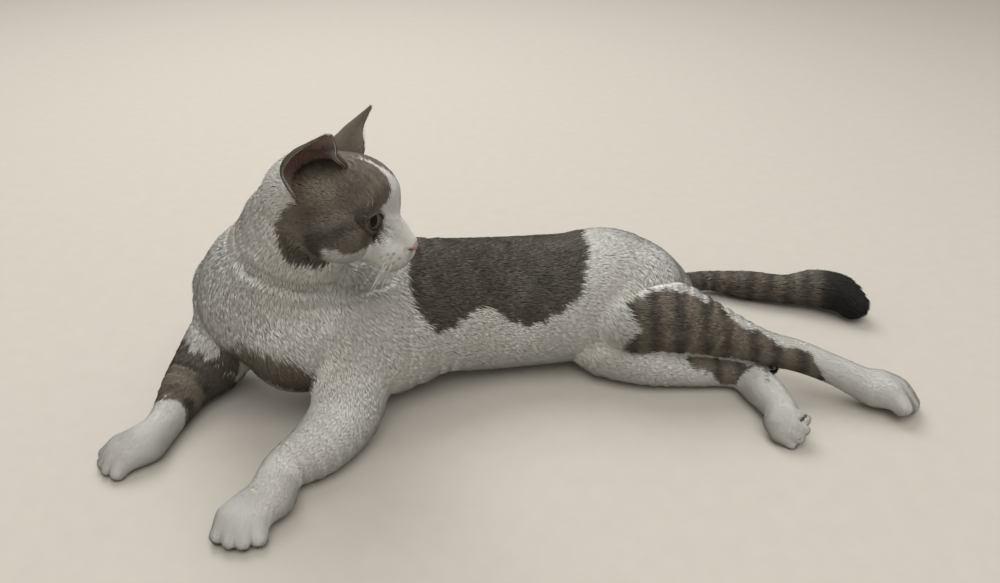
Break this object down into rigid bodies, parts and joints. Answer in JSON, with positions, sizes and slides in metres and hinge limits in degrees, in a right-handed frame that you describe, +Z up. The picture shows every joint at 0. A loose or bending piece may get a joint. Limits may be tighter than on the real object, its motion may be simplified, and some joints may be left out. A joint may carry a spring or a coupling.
{
  "type": "cat",
  "caption": "Life-size shorthaired cat, white with grey-brown tabby patches, lying on its hip and belly with the head turned round over its side.",
  "frame": {"origin": "on the floor, in the middle of the patch that the belly rests on", "axes": "+Z up; +X from the chest towards the hind feet, the way the nose points; +Y towards the back, away from the legs"},
  "size_m": [0.6946, 0.3823, 0.2693],
  "materials": {
    "coat_white": "matte",
    "coat_tabby": "matte",
    "eye": "gloss"
  },
  "bodies": {
    "root": {"head": "coat_white", "neck": "coat_white", "chest": "coat_white", "belly": "coat_white", "hips": "coat_white", "tail_root": "coat_tabby", "tail_tip": "coat_tabby", "fore_left_forearm": "coat_white", "fore_left_paw": "coat_white", "fore_right_forearm": "coat_tabby", "fore_right_paw": "coat_white", "hind_left_shin": "coat_tabby", "hind_left_foot": "coat_white", "hind_right_shin": "coat_white", "hind_right_foot": "coat_white", "ear_left": "coat_tabby", "ear_right": "coat_tabby", "eye_left": "eye", "eye_right": "eye"}
  },
  "joints": []
}
